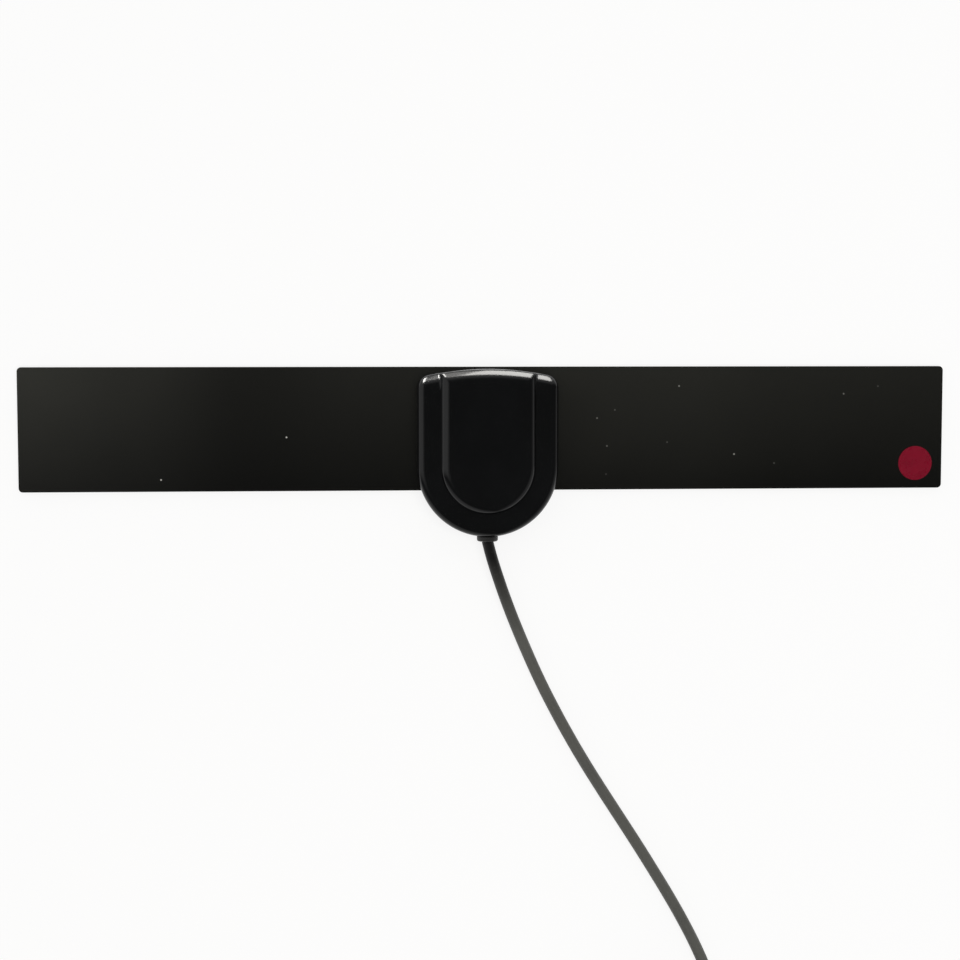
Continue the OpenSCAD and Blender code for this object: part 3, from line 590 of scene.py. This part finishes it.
class ANTENNA_OT_tie(bpy.types.Operator):
    """Tie round the coil: strap with teeth, head with its slot, cut tail"""
    bl_idname = "antenna.tie"
    bl_label = "Coil tie"

    def execute(self, context):
        bm = bmesh.new()
        self.strap(bm)
        middle = TIE_TOP + TIE_HEAD[2] / 2 - TIE_HEAD_SINK
        self.block(bm, TIE_HEAD, (0, 0, middle), 0.5, 3, slot=True)
        tail_x = TIE_HEAD[0] / 2 + TIE_TAIL[0] / 2 - TIE_TAIL_SINK
        self.block(bm, TIE_TAIL, (tail_x, 0, middle), 0.25, 2)
        for i in range(settings().tie_teeth):
            x = TIE_HEAD[0] / 2 + TOOTH_FROM_HEAD + i * TOOTH_STEP
            for at, width, top in ((-x, TIE_WIDTH - 1.2, TIE_TOP),
                                   (x, TIE_TAIL[1] - 0.9, middle + TIE_TAIL[2] / 2)):
                self.block(bm, (TOOTH_THICK, width, TOOTH_THICK), (at, 0, top + TOOTH_LIFT),
                           0.08, 1)
        place = (Matrix.Translation((*COIL_CENTRE, 0))
                 @ Matrix.Rotation(math.radians(TIE_AT), 4, "Z")
                 @ Matrix.Translation((TIE_RADIUS, 0, 0)))
        bmesh.ops.transform(bm, matrix=Matrix.Scale(MM, 4) @ place, verts=bm.verts)
        tie = new_piece("tie", bm)
        tie.data.materials.append(eroded_material("tie_nylon", (0.01, 0.01, 0.01), 0.42, 1500,
                                                  0.00002))
        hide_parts("coil_tie")
        return {"FINISHED"}

    def strap(self, bm):
        """Flat strap bent round the coil's section, in millimetres round the coil's middle"""
        sheet = bmesh.ops.create_grid(bm, x_segments=1, y_segments=1, size=0.5)["verts"]
        bmesh.ops.scale(bm, vec=(TIE_OUTSIDE[0], TIE_OUTSIDE[1], 1), verts=sheet)
        bmesh.ops.bevel(bm, geom=sheet, offset=TIE_CORNER, offset_type="OFFSET", segments=8,
                        profile=0.5, affect="VERTICES", clamp_overlap=True, material=-1)
        outline = list(bm.edges)
        bmesh.ops.delete(bm, geom=list(bm.faces), context="FACES_ONLY")
        wide = bmesh.ops.extrude_edge_only(bm, edges=outline)["geom"]
        moved = [v for v in wide if isinstance(v, bmesh.types.BMVert)]
        bmesh.ops.translate(bm, vec=(0, 0, TIE_WIDTH), verts=moved)
        bmesh.ops.translate(bm, vec=(0, 0, -TIE_WIDTH / 2), verts=bm.verts)
        bmesh.ops.recalc_face_normals(bm, faces=bm.faces)
        bmesh.ops.solidify(bm, geom=list(bm.faces), thickness=TIE_THICK)
        bmesh.ops.recalc_face_normals(bm, faces=bm.faces)
        bmesh.ops.rotate(bm, matrix=Matrix.Rotation(math.radians(90), 3, "X"), verts=bm.verts)
        bmesh.ops.translate(bm, vec=(0, 0, TIE_TOP - TIE_OUTSIDE[1] / 2), verts=bm.verts)
        rims = [e for e in bm.edges if e.calc_face_angle(0) > math.radians(60)]
        round_edges(bm, rims, 0.1, 2)

    def block(self, bm, size, middle, rounding, segments, slot=False):
        """Rounded block; slot sinks a pocket in its east face"""
        made = bmesh.ops.create_cube(bm, size=1)["verts"]
        bmesh.ops.scale(bm, vec=size, verts=made)
        bmesh.ops.translate(bm, vec=middle, verts=made)
        sides = {f for v in made for f in v.link_faces}
        edges = {e for v in made for e in v.link_edges}
        if slot:
            east = max(sides, key=lambda f: f.calc_center_median().x)
            bmesh.ops.inset_region(bm, faces=[east], thickness=SLOT_RIM, use_even_offset=True)
            bmesh.ops.translate(bm, vec=(-SLOT_DEPTH, 0, 0), verts=east.verts)
        round_edges(bm, list(edges), rounding, segments)


class ANTENNA_OT_lead(bpy.types.Operator):
    """The lead: free stretch, coil and tail on one curve"""
    bl_idname = "antenna.lead"
    bl_label = "Lead"

    def execute(self, context):
        look = settings()
        points = FREE_ROUTE + coil_points() + TAIL_ROUTE
        curve = bpy.data.curves.new("lead", "CURVE")
        curve.dimensions = "3D"
        curve.resolution_u = 5
        curve.bevel_depth = look.lead_diameter / 2
        curve.bevel_resolution = 6
        curve.use_fill_caps = True
        spline = curve.splines.new("BEZIER")
        spline.bezier_points.add(len(points) - 1)
        for knot, point in zip(spline.bezier_points, points):
            knot.co = [v * MM for v in point]
            knot.handle_left_type = knot.handle_right_type = "AUTO"
        lead = bpy.data.objects.new("lead", curve)
        context.scene.collection.objects.link(lead)
        curve.materials.append(jacket_material("vinyl_jacket", look.lead_colour,
                                               look.lead_pale_colour))
        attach(lead, BODY)
        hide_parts("cable", "cable_coil", "cable_tail")
        return {"FINISHED"}


class ANTENNA_OT_strip(bpy.types.Operator):
    """Films and foil of the flat strip, and the round disc"""
    bl_idname = "antenna.strip"
    bl_label = "Strip"

    def execute(self, context):
        look = settings()
        dress("front_sheet", film_material("front_film", look.film_colour,
                                           look.film_sheen_colour))
        dress("rear_sheet", film_material("rear_film", look.film_colour, look.film_sheen_colour))
        foil = metal_material("rolled_foil", (0.8, 0.8, 0.82), 0.3, (1, 20, 1))
        dress("element_left", foil)
        dress("element_right", foil)
        dress("badge", ink_material("disc_ink", look.badge_colour))
        return {"FINISHED"}


class ANTENNA_OT_housing(bpy.types.Operator):
    """Front shell, rear cover, screws and strain relief"""
    bl_idname = "antenna.housing"
    bl_label = "Housing"

    def execute(self, context):
        look = settings()
        dress("front_shell", gloss_material("polished_shell", look.housing_colour))
        dress("rear_cover", eroded_material("cover_plastic", (0.008, 0.008, 0.0085), 0.45))
        dress("cover_screws", metal_material("zinc_screws", (0.55, 0.56, 0.58), 0.35))
        dress("strain_relief", eroded_material("relief_rubber", (0.011, 0.011, 0.011), 0.5,
                                               1200))
        return {"FINISHED"}


class ANTENNA_OT_board(bpy.types.Operator):
    """Board, balun, contacts and the lead's stripped end, inside the housing"""
    bl_idname = "antenna.board"
    bl_label = "Board"

    def execute(self, context):
        brass = metal_material("contact_brass", (0.78, 0.6, 0.3), 0.3)
        dress("contact_rivets", brass)
        dress("contact_spacers", brass)
        dress("circuit_board", eroded_material("solder_mask", (0.02, 0.12, 0.05), 0.35, 3000,
                                               0.00001))
        dress("balun_core", eroded_material("ferrite", (0.05, 0.05, 0.055), 0.6, 900))
        copper = metal_material("enamelled_copper", (0.65, 0.25, 0.1), 0.25)
        for node in ("antenna_winding", "cable_winding", "cable_core"):
            dress(node, copper)
        dress("chip_capacitors", eroded_material("fired_ceramic", (0.35, 0.24, 0.15), 0.5))
        tin = metal_material("tinned_copper", (0.72, 0.72, 0.72), 0.3)
        for node in ("solder_joints", "cable_braid", "cable_clamp"):
            dress(node, tin)
        dress("cable_dielectric", eroded_material("foamed_plastic", (0.85, 0.85, 0.82), 0.5))
        dress("cable_jacket", jacket_material("inner_jacket", settings().lead_colour,
                                              settings().lead_pale_colour))
        return {"FINISHED"}


class ANTENNA_OT_plug(bpy.types.Operator):
    """Aerial plug"""
    bl_idname = "antenna.plug"
    bl_label = "Plug"

    def execute(self, context):
        dress("plug_grip", eroded_material("grip_vinyl", (0.012, 0.012, 0.012), 0.5, 1400))
        nickel = metal_material("nickel", (0.78, 0.77, 0.74), 0.2, (0.1, 1, 1))
        dress("plug_sleeve", nickel)
        dress("plug_pin", nickel)
        dress("plug_insulator", eroded_material("plug_insert", (0.82, 0.82, 0.78), 0.4))
        return {"FINISHED"}


class ANTENNA_PT_looks(bpy.types.Panel):
    """Lists the antenna's sizes, colours and pieces"""
    bl_label = "Antenna looks"
    bl_idname = "ANTENNA_PT_looks"
    bl_space_type = "VIEW_3D"
    bl_region_type = "UI"
    bl_category = "Antenna"

    def draw(self, context):
        for name in AntennaLooks.__annotations__:
            self.layout.prop(settings(), name)
        for operator in PIECES:
            self.layout.operator(operator.bl_idname)


PIECES = (ANTENNA_OT_stage, ANTENNA_OT_tie, ANTENNA_OT_lead, ANTENNA_OT_strip,
          ANTENNA_OT_housing, ANTENNA_OT_board, ANTENNA_OT_plug)


def register():
    for cls in (AntennaLooks, *PIECES, ANTENNA_PT_looks):
        bpy.utils.register_class(cls)
    bpy.types.Scene.antenna_looks = PointerProperty(type=AntennaLooks)


def unregister():
    del bpy.types.Scene.antenna_looks
    for cls in (ANTENNA_PT_looks, *reversed(PIECES), AntennaLooks):
        bpy.utils.unregister_class(cls)


def main():
    register()
    bpy.ops.antenna.stage()
    bpy.ops.antenna.tie()
    bpy.ops.antenna.lead()
    bpy.ops.antenna.strip()
    bpy.ops.antenna.housing()
    bpy.ops.antenna.board()
    bpy.ops.antenna.plug()


if __name__ == "__main__":
    main()
